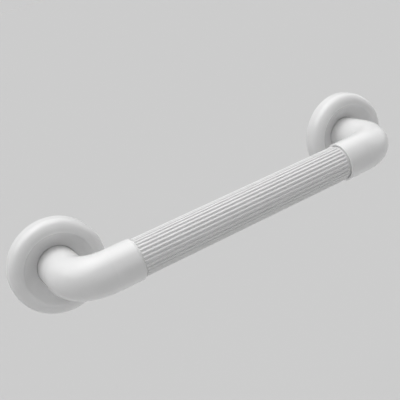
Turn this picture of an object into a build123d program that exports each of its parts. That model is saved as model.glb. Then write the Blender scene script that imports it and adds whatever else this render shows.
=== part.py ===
"""Wall-fixed grab bar: fluted grip tube, two elbows with fixing bases, two snap-on covers, two tube screws.

Millimetres. The wall is the plane Y = 0 and the bar stands off towards -Y, X runs along the bar, Z is up.
The origin lies on the wall, midway between the two bases.
"""
import os
from math import atan, degrees, radians, sin

from build123d import *

os.makedirs("parts", exist_ok=True)

# Layout
centre_distance = 305.0      # between the axes of the two bases
axis_projection = 60.0       # wall to the axis of the grip tube

# Grip tube: extruded with flutes, its ends turned down to plug into the elbows
tube_d = 32.0                # over the rib crests
tube_wall = 3.7              # rib crest to bore
flute_count = 30
flute_depth = 1.15
rib_share = 0.5              # part of each pitch taken by the rib
spigot_turning = 0.05        # turned off the ends below the flute roots
spigot_shadow_gap = 2.0      # bare spigot left between the ribs and the elbow mouth
spigot_end_clearance = 0.5   # spigot end to the socket's shoulder
spigot_chamfer = 0.6

# Elbow: one hollow moulding with its fixing base
elbow_wall = 5.0
bend_radius = 28.0
mouth_distance = 50.0        # base axis to the elbow's mouth
mouth_round = 0.7
socket_depth = 20.0
socket_wall = 2.6
socket_lead_in = 1.2         # chamfer inside the socket's mouth
socket_clearance = 0.1       # radial, spigot in socket
base_thickness = 4.6
base_edge_round = 0.4

# Wall screws, not part of the bar: the holes that take them
wall_screw_count = 3
wall_screw_circle_d = 55.0
wall_screw_hole_d = 5.0
wall_screw_sink_d = 9.6
wall_screw_sink_angle = 90.0

# Cover: dished rose that snaps over the base
cover_d = 82.0
cover_height = 16.0          # wall to the crest of the rim
cover_shell = 1.8
rim_roll_radius = 8.5        # outside of the rim, from the skirt to its crest
rim_lip_radius = 3.2         # inside of the rim, where it turns down into the dish
dish_floor_height = 8.0      # wall to the dish where it meets the elbow
dish_land = 0.8              # flat ring around the cover's bore
cover_wall_gap = 0.4
cover_bore_clearance = 0.3   # radial, elbow in the cover's bore
cover_base_clearance = 0.3   # radial, base inside the cover's skirt
cover_edge_round = 0.3

# Snap bead inside the cover's skirt, and its groove in the base
bead_height = 2.6            # wall to the middle of the bead
bead_width = 1.6
bead_crest_width = 0.5
bead_rise = 0.7
bead_clearance = 0.3

# Tube screw: countersunk self-tapping screw that holds the spigot in its socket, on the wall side
tube_screw_setback = 10.0    # socket's shoulder to the screw's axis
tube_screw_shank_d = 2.9
tube_screw_head_d = 5.5
tube_screw_head_sink = 0.3   # head top below the elbow's outside
tube_screw_length = 7.0
tube_screw_tip = 1.6
tube_screw_recess_width = 0.8
tube_screw_recess_span = 2.8
tube_screw_recess_depth = 1.0
tube_screw_clearance = 0.15  # radial, shank through the elbow's wall
tube_screw_pilot_clearance = 0.05  # radial, shank in the tube's wall and head in its countersink

# Radii and heights that follow from the sizes above
tube_r = tube_d / 2
tube_bore_r = tube_r - tube_wall
root_r = tube_r - flute_depth
spigot_r = root_r - spigot_turning
socket_r = spigot_r + socket_clearance
elbow_r = socket_r + socket_wall
elbow_bore_r = elbow_r - elbow_wall
cover_r = cover_d / 2
skirt_r = cover_r - cover_shell
base_r = skirt_r - cover_base_clearance
bore_r = elbow_r + cover_bore_clearance
base_x = centre_distance / 2
mouth_x = base_x - mouth_distance
ribbed_half = mouth_x - spigot_shadow_gap
shoulder_x = mouth_x + socket_depth
spigot_tip_x = shoulder_x - spigot_end_clearance
tube_screw_x = shoulder_x - tube_screw_setback

# Section plane of the left end: local x towards the bar's middle, local y away from the wall
left_plane = Plane(origin=(-base_x, 0, 0), x_dir=(1, 0, 0), z_dir=(0, 0, -1))
left_axis = Axis((-base_x, 0, 0), (0, -1, 0))
left_base_plane = Plane(origin=(-base_x, 0, 0), x_dir=(1, 0, 0), z_dir=(0, -1, 0))
tube_plane = Plane(origin=(0, -axis_projection, 0), x_dir=(0, 0, 1), z_dir=(1, 0, 0))

# Section plane of the left tube screw: local y runs from the wall to the tube's axis at zero
left_screw_plane = Plane(origin=(-tube_screw_x, -axis_projection, 0), x_dir=(1, 0, 0), z_dir=(0, 0, -1))
left_screw_axis = Axis((-tube_screw_x, -axis_projection, 0), (0, 1, 0))
head_top = elbow_r - tube_screw_head_sink
head_r = tube_screw_head_d / 2
shank_r = tube_screw_shank_d / 2
sink_r = head_r + tube_screw_pilot_clearance
clearance_r = shank_r + tube_screw_clearance
pilot_r = shank_r + tube_screw_pilot_clearance


def polar(radius, angle):
    """Point of a tube section at a radius and an angle in degrees."""
    point = Vector(radius, 0, 0).rotate(Axis.Z, angle)
    return (point.X, point.Y)


# Grip tube
pitch = 360 / flute_count
rib_half_angle = pitch * rib_share / 2
flank_r = (tube_r + root_r) / 2
with BuildPart() as grip_tube:
    with BuildSketch(tube_plane.offset(-ribbed_half)):
        with BuildLine():
            for i in range(flute_count):
                crest = i * pitch
                start = polar(flank_r, crest - rib_half_angle)
                end = polar(flank_r, crest + rib_half_angle)
                following = polar(flank_r, crest + pitch - rib_half_angle)
                ThreePointArc(start, polar(tube_r, crest), end)
                ThreePointArc(end, polar(root_r, crest + pitch / 2), following)
        make_face()
    extrude(amount=2 * ribbed_half)
    with BuildSketch(tube_plane.offset(-spigot_tip_x)):
        Circle(spigot_r)
    extrude(amount=2 * spigot_tip_x)
    tips = grip_tube.faces().filter_by(Axis.X)
    chamfer([tips.sort_by(Axis.X)[0].edges(), tips.sort_by(Axis.X)[-1].edges()], spigot_chamfer)
    with BuildSketch(tube_plane.offset(-spigot_tip_x)):
        Circle(tube_bore_r)
    extrude(amount=2 * spigot_tip_x, mode=Mode.SUBTRACT)
    # Pilot holes for the tube screws, through the wall-side half only
    with BuildSketch(Plane.XZ.offset(axis_projection)):
        with Locations((-tube_screw_x, 0), (tube_screw_x, 0)):
            Circle(pilot_r)
    extrude(amount=-tube_r, mode=Mode.SUBTRACT)

# Left elbow: swept bend and its fixing base, bored through from the wall to the tube socket
with BuildPart() as left_elbow:
    with BuildLine(left_plane) as bend_path:
        stub = Line((0, 0), (0, axis_projection - bend_radius))
        bend = JernArc(stub @ 1, stub % 1, bend_radius, -90)
        Line(bend @ 1, (mouth_distance, axis_projection))
    with BuildSketch(left_base_plane):
        Circle(elbow_r)
    sweep(path=bend_path.wire())
    mouth = left_elbow.faces().filter_by(Axis.X).sort_by(Axis.X)[-1]
    fillet(mouth.edges(), mouth_round)
    with BuildSketch(left_plane):
        with BuildLine():
            groove_root_r = skirt_r - bead_rise - bead_clearance
            groove_low = bead_height - bead_width / 2 - bead_clearance
            groove_high = bead_height + bead_width / 2 + bead_clearance
            Polyline(
                (0, 0),
                (base_r, 0),
                (base_r, groove_low),
                (groove_root_r, groove_low),
                (groove_root_r, groove_high),
                (base_r, groove_high),
                (base_r, base_thickness),
                (0, base_thickness),
                close=True,
            )
        make_face()
    revolve(axis=left_axis)
    base_front = left_elbow.faces().filter_by(Axis.Y).sort_by(Axis.Y)[0]
    fillet(base_front.edges().sort_by(SortBy.LENGTH)[-1], base_edge_round)
    with BuildSketch(left_base_plane):
        Circle(elbow_bore_r)
    sweep(path=bend_path.wire(), mode=Mode.SUBTRACT)
    with BuildSketch(tube_plane.offset(-shoulder_x)):
        Circle(socket_r)
    extrude(amount=socket_depth, mode=Mode.SUBTRACT)
    mouth = left_elbow.faces().filter_by(Axis.X).sort_by(Axis.X)[-1]
    chamfer(mouth.edges().sort_by(SortBy.LENGTH)[0], socket_lead_in)
    # Wall screws: one opposite the bar and two clear of it, so that a driver reaches all three
    with Locations(left_base_plane.offset(base_thickness)):
        with PolarLocations(wall_screw_circle_d / 2, wall_screw_count, start_angle=180):
            CounterSinkHole(
                wall_screw_hole_d / 2, wall_screw_sink_d / 2, counter_sink_angle=wall_screw_sink_angle
            )
    # Tube screw: countersink and clearance hole through the wall side of the socket
    with BuildSketch(left_screw_plane):
        with BuildLine():
            Polyline(
                (0, -elbow_r),
                (sink_r, -elbow_r),
                (sink_r, -head_top),
                (clearance_r, -head_top + sink_r - clearance_r),
                (clearance_r, -spigot_r),
                (0, -spigot_r),
                close=True,
            )
        make_face()
    revolve(axis=left_screw_axis, mode=Mode.SUBTRACT)


# Right elbow: the same moulding, turned half a turn
with BuildPart() as right_elbow:
    add(left_elbow.part.rotate(Axis.Y, 180))


# Left cover: shell of even wall, its rounded rim running down into the dish in one tangent curve
crest_r = cover_r - rim_roll_radius
roll_centre_height = cover_height - rim_roll_radius
dish_r = bore_r + dish_land
flank_angle = 2 * degrees(atan((cover_height - dish_floor_height) / (crest_r - dish_r)))
dish_radius = (crest_r - dish_r) / sin(radians(flank_angle)) - rim_lip_radius
with BuildPart() as left_cover:
    with BuildSketch(left_plane):
        with BuildLine():
            outside = Line((cover_r, cover_wall_gap), (cover_r, roll_centre_height))
            roll = JernArc(outside @ 1, (0, 1), rim_roll_radius, 90)
            lip = JernArc(roll @ 1, roll % 1, rim_lip_radius, flank_angle)
            dish = JernArc(lip @ 1, lip % 1, dish_radius, -flank_angle)
            under_floor = dish_floor_height - cover_shell
            Polyline(dish @ 1, (bore_r, dish_floor_height), (bore_r, under_floor), (dish_r, under_floor))
            under_dish = JernArc((dish_r, under_floor), (1, 0), dish_radius + cover_shell, flank_angle)
            under_lip = JernArc(under_dish @ 1, under_dish % 1, rim_lip_radius - cover_shell, -flank_angle)
            under_roll = JernArc(under_lip @ 1, under_lip % 1, rim_roll_radius - cover_shell, -90)
            bead_crest_r = skirt_r - bead_rise
            Polyline(
                under_roll @ 1,
                (skirt_r, bead_height + bead_width / 2),
                (bead_crest_r, bead_height + bead_crest_width / 2),
                (bead_crest_r, bead_height - bead_crest_width / 2),
                (skirt_r, bead_height - bead_width / 2),
                (skirt_r, cover_wall_gap),
                outside @ 0,
            )
        make_face()
    revolve(axis=left_axis)
    rims = left_cover.edges().filter_by(GeomType.CIRCLE)
    fillet(rims.sort_by(Axis.Y)[-1:], cover_edge_round)


# Right cover: the same moulding, turned half a turn
with BuildPart() as right_cover:
    add(left_cover.part.rotate(Axis.Y, 180))


# Left tube screw: countersunk head with a cross recess, plain shank and point
with BuildPart() as left_tube_screw:
    with BuildSketch(left_screw_plane):
        with BuildLine():
            tip_low = head_top - tube_screw_length
            Polyline(
                (0, -head_top),
                (head_r, -head_top),
                (shank_r, -head_top + head_r - shank_r),
                (shank_r, -tip_low - tube_screw_tip),
                (0, -tip_low),
                close=True,
            )
        make_face()
    revolve(axis=left_screw_axis)
    with BuildSketch(Plane.XZ.offset(axis_projection - head_top)):
        with Locations((-tube_screw_x, 0)):
            Rectangle(tube_screw_recess_span, tube_screw_recess_width)
            Rectangle(tube_screw_recess_width, tube_screw_recess_span)
    extrude(amount=tube_screw_recess_depth, mode=Mode.SUBTRACT)


# Right tube screw: the same screw at the other end
with BuildPart() as right_tube_screw:
    add(left_tube_screw.part.rotate(Axis.Y, 180))


pieces = {
    "grip_tube": grip_tube,
    "left_elbow": left_elbow,
    "right_elbow": right_elbow,
    "left_cover": left_cover,
    "right_cover": right_cover,
    "left_tube_screw": left_tube_screw,
    "right_tube_screw": right_tube_screw,
}
for name, piece in pieces.items():
    piece.part.label = name
    export_step(piece.part, f"parts/{name}.step")
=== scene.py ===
"""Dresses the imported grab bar: white moulded and extruded plastic, plated screws, floor, light and camera.

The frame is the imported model's: the wall is the plane Y = 0, the bar stands off towards -Y, X runs along
the bar and Z is up. Values whose names end in _mm are millimetres, and all other lengths are metres.
"""

import logging
import math
from dataclasses import dataclass
from enum import Enum
from typing import Any

import bpy
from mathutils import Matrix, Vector


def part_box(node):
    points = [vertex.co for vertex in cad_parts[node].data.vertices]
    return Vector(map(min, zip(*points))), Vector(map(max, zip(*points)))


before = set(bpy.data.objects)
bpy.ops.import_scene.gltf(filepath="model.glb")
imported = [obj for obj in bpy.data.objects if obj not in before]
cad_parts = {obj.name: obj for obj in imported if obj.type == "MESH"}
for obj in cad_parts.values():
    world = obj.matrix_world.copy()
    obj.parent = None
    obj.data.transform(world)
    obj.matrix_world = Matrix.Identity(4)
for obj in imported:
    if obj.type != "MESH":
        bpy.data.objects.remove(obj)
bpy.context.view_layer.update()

log = logging.getLogger("grab_bar")

MM = 0.001

# Sockets of a Mix node that mixes two colours
MIX_FIRST = 6
MIX_SECOND = 7
MIX_RESULT = 2


def linear(hex_colour: str) -> tuple[float, float, float, float]:
    """Turns an sRGB hex colour to Blender's linear colour.

    Args:
        hex_colour: Colour such as "#CCCCCC".

    Returns:
        Linear red, green and blue, and an alpha of one.
    """
    parts = [int(hex_colour[i : i + 2], 16) / 255 for i in (1, 3, 5)]
    red, green, blue = (c / 12.92 if c <= 0.04045 else ((c + 0.055) / 1.055) ** 2.4 for c in parts)
    return (red, green, blue, 1.0)


def add_node(
    tree: bpy.types.NodeTree,
    kind: str,
    inputs: dict[str | int, Any] | None = None,
    **settings: Any,
) -> bpy.types.Node:
    """Adds a node, sets it up and links it to the nodes before it.

    Args:
        tree: Node tree that takes the node.
        kind: Blender's type name for the node.
        inputs: What goes into each input, a value or another node's output socket.
        **settings: The node's own properties.

    Returns:
        The new node.
    """
    node = tree.nodes.new(kind)
    for name, value in settings.items():
        setattr(node, name, value)
    for key, value in (inputs or {}).items():
        if isinstance(value, bpy.types.NodeSocket):
            tree.links.new(value, node.inputs[key])
        else:
            node.inputs[key].default_value = value
    return node


def empty_tree(owner: bpy.types.Material | bpy.types.World) -> bpy.types.NodeTree:
    """Switches a material or world to nodes and clears its default ones.

    Args:
        owner: Material or world.

    Returns:
        Its empty node tree.
    """
    owner.use_nodes = True
    owner.node_tree.nodes.clear()
    return owner.node_tree


def per_metre(size_mm: float) -> float:
    """Gives a noise scale whose features are about size_mm across."""
    return 1 / (size_mm * MM)


@dataclass(frozen=True)
class MouldedPlastic:
    """White ABS moulded against a polished steel tool.

    It gives the eye a clean, glossy white with soft highlights, the faint ripple that shrinking leaves in
    them and a hardly visible cloudiness where the melt has flowed. Handling dulls the gloss a little, in
    patches.
    """

    name: str = "moulded_white_abs"
    ior: float = 1.54
    white: str = "#EEEEEE"
    cloud: str = "#E8E8E8"
    cloud_mm: float = 22.0
    cloud_detail: float = 3.0
    cloud_swirl: float = 0.6
    gloss_roughness: float = 0.16
    handled_roughness: float = 0.24
    handled_mm: float = 9.0
    handled_detail: float = 4.0
    handled_begins: float = 0.35  # noise where the gloss starts to dull
    handled_full: float = 0.65  # noise where it is dullest
    ripple_mm: float = 1.6  # finer on the real moulding, drawn this coarse so that highlights show it
    ripple_detail: float = 1.0
    ripple_depth_mm: float = 0.004

    def build(self) -> bpy.types.Material:
        """Makes the material.

        Returns:
            The finished material.
        """
        material = bpy.data.materials.new(self.name)
        tree = empty_tree(material)
        place = add_node(tree, "ShaderNodeTexCoord").outputs["Object"]
        cloud = add_node(
            tree,
            "ShaderNodeTexNoise",
            {
                "Vector": place,
                "Scale": per_metre(self.cloud_mm),
                "Detail": self.cloud_detail,
                "Distortion": self.cloud_swirl,
            },
        )
        tone = add_node(
            tree,
            "ShaderNodeMix",
            {
                "Factor": cloud.outputs["Fac"],
                MIX_FIRST: linear(self.white),
                MIX_SECOND: linear(self.cloud),
            },
            data_type="RGBA",
        )
        patches = add_node(
            tree,
            "ShaderNodeTexNoise",
            {"Vector": place, "Scale": per_metre(self.handled_mm), "Detail": self.handled_detail},
        )
        roughness = add_node(
            tree,
            "ShaderNodeMapRange",
            {
                "Value": patches.outputs["Fac"],
                "From Min": self.handled_begins,
                "From Max": self.handled_full,
                "To Min": self.gloss_roughness,
                "To Max": self.handled_roughness,
            },
        )
        ripple = add_node(
            tree,
            "ShaderNodeTexNoise",
            {"Vector": place, "Scale": per_metre(self.ripple_mm), "Detail": self.ripple_detail},
        )
        bump = add_node(
            tree,
            "ShaderNodeBump",
            {"Height": ripple.outputs["Fac"], "Distance": self.ripple_depth_mm * MM},
        )
        shader = add_node(
            tree,
            "ShaderNodeBsdfPrincipled",
            {
                "Base Color": tone.outputs[MIX_RESULT],
                "Roughness": roughness.outputs["Result"],
                "IOR": self.ior,
                "Normal": bump.outputs["Normal"],
            },
        )
        add_node(tree, "ShaderNodeOutputMaterial", {"Surface": shader.outputs["BSDF"]})
        return material


@dataclass(frozen=True)
class ExtrudedPlastic:
    """White PVC drawn through a fluted die.

    It gives the eye a satin white, a little greyer than the mouldings, with fine lines along the bar. The
    rib crests are rubbed smoother by hands, and the flutes stay duller. The flutes are painted a little
    paler
    than the crests: painted light that softens the shade in the grooves.
    """

    name: str = "extruded_white_pvc"
    ior: float = 1.53
    crest: str = "#E3E3E3"
    # flutes painted paler than the crests: painted light that softens the shade in the grooves
    flute_painted_paler: str = "#EAEAEA"
    crest_roughness: float = 0.36
    flute_roughness: float = 0.52
    flute_depth_mm: float = 1.15
    line_spacing_mm: float = 0.45
    line_length_mm: float = 60.0
    line_detail: float = 2.0
    line_depth_mm: float = 0.006

    def build(self, axis_point: Vector, crest_radius: float) -> bpy.types.Material:
        """Makes the material for a tube along X.

        Args:
            axis_point: Point on the tube's axis.
            crest_radius: Radius over the rib crests.

        Returns:
            The finished material.
        """
        material = bpy.data.materials.new(self.name)
        tree = empty_tree(material)
        place = add_node(tree, "ShaderNodeTexCoord").outputs["Object"]
        across = add_node(
            tree,
            "ShaderNodeMapping",
            {"Vector": place, "Location": (0.0, -axis_point.y, -axis_point.z), "Scale": (0.0, 1.0, 1.0)},
        )
        radius = add_node(tree, "ShaderNodeVectorMath", {0: across.outputs["Vector"]}, operation="LENGTH")
        height = add_node(
            tree,
            "ShaderNodeMapRange",
            {
                "Value": radius.outputs["Value"],
                "From Min": crest_radius - self.flute_depth_mm * MM,
                "From Max": crest_radius,
            },
            interpolation_type="SMOOTHSTEP",
        )
        # paler in the flutes than on the crests, by height across the ribs: painted light in the grooves
        tone = add_node(
            tree,
            "ShaderNodeMix",
            {
                "Factor": height.outputs["Result"],
                MIX_FIRST: linear(self.flute_painted_paler),
                MIX_SECOND: linear(self.crest),
            },
            data_type="RGBA",
        )
        roughness = add_node(
            tree,
            "ShaderNodeMapRange",
            {
                "Value": height.outputs["Result"],
                "To Min": self.flute_roughness,
                "To Max": self.crest_roughness,
            },
        )
        drawn = add_node(
            tree,
            "ShaderNodeMapping",
            {"Vector": place, "Scale": (self.line_spacing_mm / self.line_length_mm, 1.0, 1.0)},
        )
        lines = add_node(
            tree,
            "ShaderNodeTexNoise",
            {
                "Vector": drawn.outputs["Vector"],
                "Scale": per_metre(self.line_spacing_mm),
                "Detail": self.line_detail,
            },
        )
        bump = add_node(
            tree,
            "ShaderNodeBump",
            {"Height": lines.outputs["Fac"], "Distance": self.line_depth_mm * MM},
        )
        shader = add_node(
            tree,
            "ShaderNodeBsdfPrincipled",
            {
                "Base Color": tone.outputs[MIX_RESULT],
                "Roughness": roughness.outputs["Result"],
                "IOR": self.ior,
                "Normal": bump.outputs["Normal"],
            },
        )
        add_node(tree, "ShaderNodeOutputMaterial", {"Surface": shader.outputs["BSDF"]})
        return material


@dataclass(frozen=True)
class PlatedSteel:
    """Zinc-plated steel of a small self-tapping screw.

    It gives the eye a pale, slightly uneven metal whose plating is a little cloudy.
    """

    name: str = "zinc_plated_steel"
    bright: str = "#D2D4D6"
    dull: str = "#B4B7BA"
    bright_roughness: float = 0.26
    dull_roughness: float = 0.44
    cloud_mm: float = 0.9
    cloud_detail: float = 4.0
    dull_begins: float = 0.3  # noise where the plating starts to dull
    dull_full: float = 0.7  # noise where it is dullest

    def build(self) -> bpy.types.Material:
        """Makes the material.

        Returns:
            The finished material.
        """
        material = bpy.data.materials.new(self.name)
        tree = empty_tree(material)
        place = add_node(tree, "ShaderNodeTexCoord").outputs["Object"]
        cloud = add_node(
            tree,
            "ShaderNodeTexNoise",
            {"Vector": place, "Scale": per_metre(self.cloud_mm), "Detail": self.cloud_detail},
        )
        tone = add_node(
            tree,
            "ShaderNodeMix",
            {
                "Factor": cloud.outputs["Fac"],
                MIX_FIRST: linear(self.bright),
                MIX_SECOND: linear(self.dull),
            },
            data_type="RGBA",
        )
        roughness = add_node(
            tree,
            "ShaderNodeMapRange",
            {
                "Value": cloud.outputs["Fac"],
                "From Min": self.dull_begins,
                "From Max": self.dull_full,
                "To Min": self.bright_roughness,
                "To Max": self.dull_roughness,
            },
        )
        shader = add_node(
            tree,
            "ShaderNodeBsdfPrincipled",
            {
                "Base Color": tone.outputs[MIX_RESULT],
                "Roughness": roughness.outputs["Result"],
                "Metallic": 1.0,
            },
        )
        add_node(tree, "ShaderNodeOutputMaterial", {"Surface": shader.outputs["BSDF"]})
        return material


@dataclass(frozen=True)
class StudioPaper:
    """Matt paper of a studio floor.

    It gives the eye an even pale ground that throws soft light back up on the bar.
    """

    name: str = "studio_paper"
    colour: str = "#C7C7C7"

    def build(self) -> bpy.types.Material:
        """Makes the material.

        Returns:
            The finished material.
        """
        material = bpy.data.materials.new(self.name)
        tree = empty_tree(material)
        ground = add_node(tree, "ShaderNodeBsdfDiffuse", {"Color": linear(self.colour)})
        add_node(tree, "ShaderNodeOutputMaterial", {"Surface": ground.outputs["BSDF"]})
        return material


def give_finish(node_name: str, material: bpy.types.Material) -> None:
    """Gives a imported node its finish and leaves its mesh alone.

    Args:
        node_name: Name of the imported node.
        material: Finish for all of it.
    """
    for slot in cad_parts[node_name].material_slots:
        slot.material = material
    log.info("%s: %s", node_name, material.name)


@dataclass
class GripTube:
    """Fluted tube between the two ends."""

    plastic: ExtrudedPlastic
    node_name: str = "grip_tube"

    def dress(self) -> None:
        """Dresses the tube, with ribs and flutes told apart about its own axis."""
        low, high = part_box(self.node_name)
        crest_radius = (high.z - low.z) / 2
        give_finish(self.node_name, self.plastic.build((low + high) / 2, crest_radius))


class End(Enum):
    """Ends of the bar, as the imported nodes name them."""

    LEFT = "left"
    RIGHT = "right"


@dataclass
class EndFitting:
    """Elbow with its fixing base, the cover over the base and the screw that holds the tube."""

    end: End
    moulding: bpy.types.Material
    screw: bpy.types.Material

    def dress(self) -> None:
        """Dresses the three pieces of this end."""
        give_finish(f"{self.end.value}_elbow", self.moulding)
        give_finish(f"{self.end.value}_cover", self.moulding)
        give_finish(f"{self.end.value}_tube_screw", self.screw)


@dataclass(frozen=True)
class SoftLamp:
    """Wide soft light, far enough away to light every piece alike."""

    name: str
    strength: float
    comes_from: tuple[float, float, float]
    spread_degrees: float = 60.0

    def hang(self) -> None:
        """Hangs the light, turned to the bar."""
        data = bpy.data.lights.new(self.name, "SUN")
        data.energy = self.strength
        data.angle = math.radians(self.spread_degrees)
        lamp = bpy.data.objects.new(self.name, data)
        lamp.rotation_euler = Vector(self.comes_from).to_track_quat("Z", "Y").to_euler()
        bpy.context.scene.collection.objects.link(lamp)
        log.info("%s: %.2f", self.name, self.strength)


@dataclass
class Studio:
    """Floor, surrounding light and soft lamps."""

    floor_drop: float = 0.6
    floor_side: float = 40.0
    backdrop: str = "#CCCCCC"
    ambient: str = "#FFFFFF"
    ambient_strength: float = 0.02
    lamps: tuple[SoftLamp, ...] = (
        SoftLamp("top_light", 0.94, (0.0, 0.0, 1.0)),
        SoftLamp("left_light", 0.98, (-0.5, 0.0, 0.87)),
        SoftLamp("back_left_light", 0.58, (-0.35, 0.35, 0.87)),
        SoftLamp("back_right_light", 0.85, (0.35, 0.35, 0.87)),
        SoftLamp("right_light", 0.60, (0.98, 0.0, 0.21)),
        SoftLamp("front_light", 0.35, (0.0, -0.98, 0.21)),
    )

    def lay_floor(self, paper: bpy.types.Material) -> None:
        """Lays the floor below the bar.

        Args:
            paper: Finish of the floor.
        """
        bpy.ops.object.select_all(action="DESELECT")
        bpy.ops.mesh.primitive_plane_add(size=self.floor_side, location=(0.0, 0.0, -self.floor_drop))
        floor = bpy.context.object
        floor.name = "studio_floor"
        bpy.ops.object.transform_apply(location=True, rotation=True, scale=True)
        floor.data.materials.append(paper)
        log.info("%s: %s", floor.name, paper.name)

    def fill_surroundings(self) -> None:
        """Fills the surroundings with even light, and shows them in the backdrop's colour.

        A ray from the camera, in a reflection or through glass sees the backdrop, and any other ray sees
        the even light.
        """
        world = bpy.data.worlds.new("studio_surround")
        bpy.context.scene.world = world
        tree = empty_tree(world)
        ray = add_node(tree, "ShaderNodeLightPath")
        direct = add_node(
            tree,
            "ShaderNodeMath",
            {0: ray.outputs["Is Camera Ray"], 1: ray.outputs["Is Glossy Ray"]},
            operation="MAXIMUM",
        )
        seen = add_node(
            tree,
            "ShaderNodeMath",
            {0: direct.outputs["Value"], 1: ray.outputs["Is Transmission Ray"]},
            operation="MAXIMUM",
        )
        light = add_node(
            tree,
            "ShaderNodeBackground",
            {"Color": linear(self.ambient), "Strength": self.ambient_strength},
        )
        view = add_node(tree, "ShaderNodeBackground", {"Color": linear(self.backdrop)})
        mix = add_node(
            tree,
            "ShaderNodeMixShader",
            {0: seen.outputs["Value"], 1: light.outputs["Background"], 2: view.outputs["Background"]},
        )
        add_node(tree, "ShaderNodeOutputWorld", {"Surface": mix.outputs["Shader"]})
        log.info("%s: %s", world.name, self.backdrop)

    def hang_lamps(self) -> None:
        """Hangs the soft lamps."""
        for lamp in self.lamps:
            lamp.hang()


@dataclass
class Viewpoint:
    """Camera at the photograph's viewing angle, its lens without shift or depth of field."""

    place_mm: tuple[float, float, float] = (-235.77, -536.46, 222.54)
    turn_degrees: tuple[float, float, float] = (68.103, 14.873, -28.563)
    lens_mm: float = 61.854
    sensor_mm: float = 36.0
    nearest: float = 0.01
    farthest: float = 100.0

    def set_up(self) -> None:
        """Sets up the camera and makes it the scene's own."""
        data = bpy.data.cameras.new("photo_camera")
        data.lens = self.lens_mm
        data.sensor_width = self.sensor_mm
        data.clip_start = self.nearest
        data.clip_end = self.farthest
        camera = bpy.data.objects.new("photo_camera", data)
        camera.location = Vector(self.place_mm) * MM
        camera.rotation_euler = [math.radians(angle) for angle in self.turn_degrees]
        bpy.context.scene.collection.objects.link(camera)
        bpy.context.scene.camera = camera
        log.info("%s: %.1f mm lens", camera.name, self.lens_mm)


def main() -> None:
    """Dresses the bar and sets up floor, light and camera."""
    logging.basicConfig(level=logging.INFO, format="%(name)s %(message)s")
    GripTube(ExtrudedPlastic()).dress()
    moulding = MouldedPlastic().build()
    screw = PlatedSteel().build()
    for end in End:
        EndFitting(end, moulding, screw).dress()
    studio = Studio()
    studio.lay_floor(StudioPaper().build())
    studio.fill_surroundings()
    studio.hang_lamps()
    Viewpoint().set_up()
    bpy.context.scene.view_settings.view_transform = "Standard"


if __name__ == "__main__":
    main()
